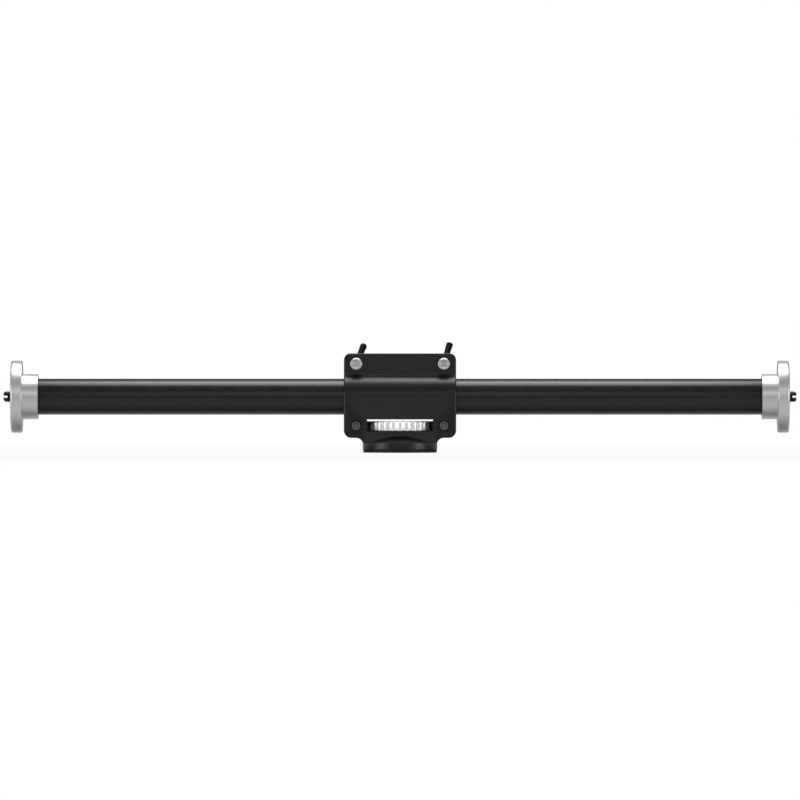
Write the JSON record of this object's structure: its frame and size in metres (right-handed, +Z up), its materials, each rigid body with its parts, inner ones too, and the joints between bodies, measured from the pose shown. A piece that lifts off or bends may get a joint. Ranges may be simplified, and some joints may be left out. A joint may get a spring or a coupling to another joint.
{
  "type": "camera slider",
  "caption": "Tripod cross bar: a round tube with a flanged stud at each end slides and turns in a two-piece clamp with a lock wheel in its foot.",
  "frame": {"origin": "centre of the underside of the foot, where it stands on a tripod's plate", "axes": "+X along the tube to the right end, +Z up, the front of the clamp faces -Y"},
  "size_m": [0.6608, 0.0622, 0.0919],
  "materials": {
    "casting": "satin black powder coat on die-cast aluminium",
    "lever_casting": "satin black",
    "anodised_tube": "satin black anodised",
    "turned_aluminium": "fine turned, satin",
    "black_steel": "black oxide",
    "bright_steel": "bright zinc plated",
    "spring_steel": "drawn wire",
    "rubber": "matte black",
    "nylon": "matte black nylon"
  },
  "bodies": {
    "clamp": {"rear_body": "casting", "front_jaw": "casting", "base_pad": "rubber", "clamp_bolts": "bright_steel", "jaw_screws": "black_steel", "lever_washers": "bright_steel", "wheel_washer": "nylon"},
    "wheel": {"lock_wheel": "turned_aluminium", "wheel_bush": "bright_steel"},
    "bush": {"liner": "nylon"},
    "bar": {"bar_tube": "anodised_tube", "left_end_cap": "turned_aluminium", "right_end_cap": "turned_aluminium", "left_stud": "black_steel", "right_stud": "black_steel", "cap_seal_rings": "rubber", "cap_set_screws": "black_steel", "stud_lock_screws": "black_steel"},
    "left_lever_hub": {"left_lever_insert": "bright_steel", "left_lever_screw": "bright_steel", "left_lever_spring": "spring_steel"},
    "left_lever": {"left_lever_handle": "lever_casting"},
    "right_lever_hub": {"right_lever_insert": "bright_steel", "right_lever_screw": "bright_steel", "right_lever_spring": "spring_steel"},
    "right_lever": {"right_lever_handle": "lever_casting"}
  },
  "joints": [
    {"name": "wheel_spin", "type": "hinge", "parent": "clamp", "child": "wheel", "pos_m": [0, 0, 0.022], "axis": [0, 0, 1], "continuous": true},
    {"name": "bar_spin", "type": "hinge", "parent": "clamp", "child": "bush", "pos_m": [0, 0, 0.0465], "axis": [1, 0, 0], "continuous": true},
    {"name": "bar_slide", "type": "slide", "parent": "bush", "child": "bar", "axis": [1, 0, 0], "range_m": [-0.2545, 0.2545]},
    {"name": "left_lever_turn", "type": "hinge", "parent": "clamp", "child": "left_lever_hub", "pos_m": [-0.0365, 0.01, 0.0738], "axis": [0, 1, 0], "range_deg": [0, 180]},
    {"name": "left_lever_lift", "type": "slide", "parent": "left_lever_hub", "child": "left_lever", "axis": [0, 1, 0], "range_m": [0, 0.0034], "stiffness_N_per_m": 1200, "springref_m": -0.003, "deforming": ["left_lever_spring"]},
    {"name": "right_lever_turn", "type": "hinge", "parent": "clamp", "child": "right_lever_hub", "pos_m": [0.0365, 0.01, 0.0738], "axis": [0, 1, 0], "range_deg": [0, 180]},
    {"name": "right_lever_lift", "type": "slide", "parent": "right_lever_hub", "child": "right_lever", "axis": [0, 1, 0], "range_m": [0, 0.0034], "stiffness_N_per_m": 1200, "springref_m": -0.003, "deforming": ["right_lever_spring"]}
  ]
}
